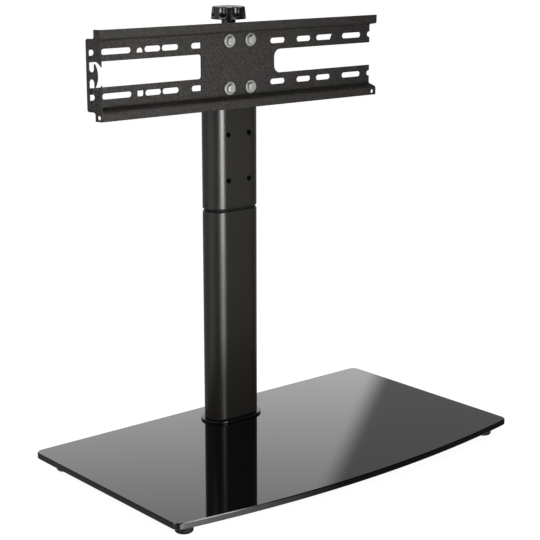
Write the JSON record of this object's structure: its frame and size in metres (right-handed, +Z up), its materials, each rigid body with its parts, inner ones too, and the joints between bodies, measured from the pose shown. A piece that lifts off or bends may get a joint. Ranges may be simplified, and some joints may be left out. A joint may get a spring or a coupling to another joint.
{
  "type": "tv stand with mount",
  "caption": "Table top TV stand: bowed black glass base on rubber feet, flat oval turning column, slotted steel mounting plate and a fluted locking knob.",
  "frame": {"origin": "centre of the bounding box at the floor, under the feet", "axes": "+Z up, -Y towards the viewer of the screen, +X to the right seen from the front"},
  "size_m": [0.558, 0.3286, 0.5737],
  "materials": {
    "black_glass": "black tempered glass, polished, fully opaque",
    "foot_rubber": "matt moulded rubber",
    "bare_steel": "plain machined steel",
    "black_plastic": "moulded, smooth",
    "column_black": "extruded, satin black coat",
    "bright_zinc": "bright zinc plate",
    "plate_coat": "fine textured black powder coat on folded steel",
    "neck_black": "black oxide steel",
    "knob_gloss": "glossy moulded knob"
  },
  "bodies": {
    "stand": {"glass_base": "black_glass", "foot_pad_1": "foot_rubber", "foot_pad_2": "foot_rubber", "foot_pad_3": "foot_rubber", "foot_pad_4": "foot_rubber", "foot_disc_1": "bare_steel", "foot_disc_2": "bare_steel", "foot_disc_3": "bare_steel", "foot_disc_4": "bare_steel", "base_collar": "black_plastic", "clamp_pad": "foot_rubber", "clamp_plate": "bare_steel", "base_bolt_1": "bright_zinc", "base_bolt_2": "bright_zinc", "base_bolt_3": "bright_zinc", "base_bolt_4": "bright_zinc", "base_washer_1": "bright_zinc", "base_washer_2": "bright_zinc", "base_washer_3": "bright_zinc", "base_washer_4": "bright_zinc", "lower_column": "column_black", "foot_block": "bare_steel", "lower_swivel_cap": "bare_steel", "slip_washer": "black_plastic", "pivot_sleeve": "bare_steel", "lock_nut": "bright_zinc"},
    "head": {"upper_swivel_cap": "bare_steel", "stop_pin": "bare_steel", "upper_column": "column_black", "backing_bar": "bare_steel", "top_cap": "black_plastic", "mounting_plate": "plate_coat", "plate_bolt_1": "bright_zinc", "plate_bolt_2": "bright_zinc", "plate_bolt_3": "bright_zinc", "plate_bolt_4": "bright_zinc", "plate_washer_1": "bright_zinc", "plate_washer_2": "bright_zinc", "plate_washer_3": "bright_zinc", "plate_washer_4": "bright_zinc"},
    "riser": {"knob_bush": "neck_black"},
    "knob": {"lock_knob": "knob_gloss", "lock_rod": "bright_zinc"}
  },
  "joints": [
    {"name": "swivel", "type": "hinge", "parent": "stand", "child": "head", "pos_m": [0, 0.11225, 0.31125], "axis": [0, 0, 1], "range_deg": [-30, 30]},
    {"name": "knob_rise", "type": "slide", "parent": "head", "child": "riser", "axis": [0, 0, 1], "range_m": [0, 0.003]},
    {"name": "knob_turn", "type": "hinge", "parent": "riser", "child": "knob", "pos_m": [0, 0.11225, 0.5651], "axis": [0, 0, 1], "range_deg": [0, 721]}
  ],
  "couplings": [
    {"joint": "knob_turn", "follows": "knob_rise", "rad_per_m": 4188.8}
  ]
}
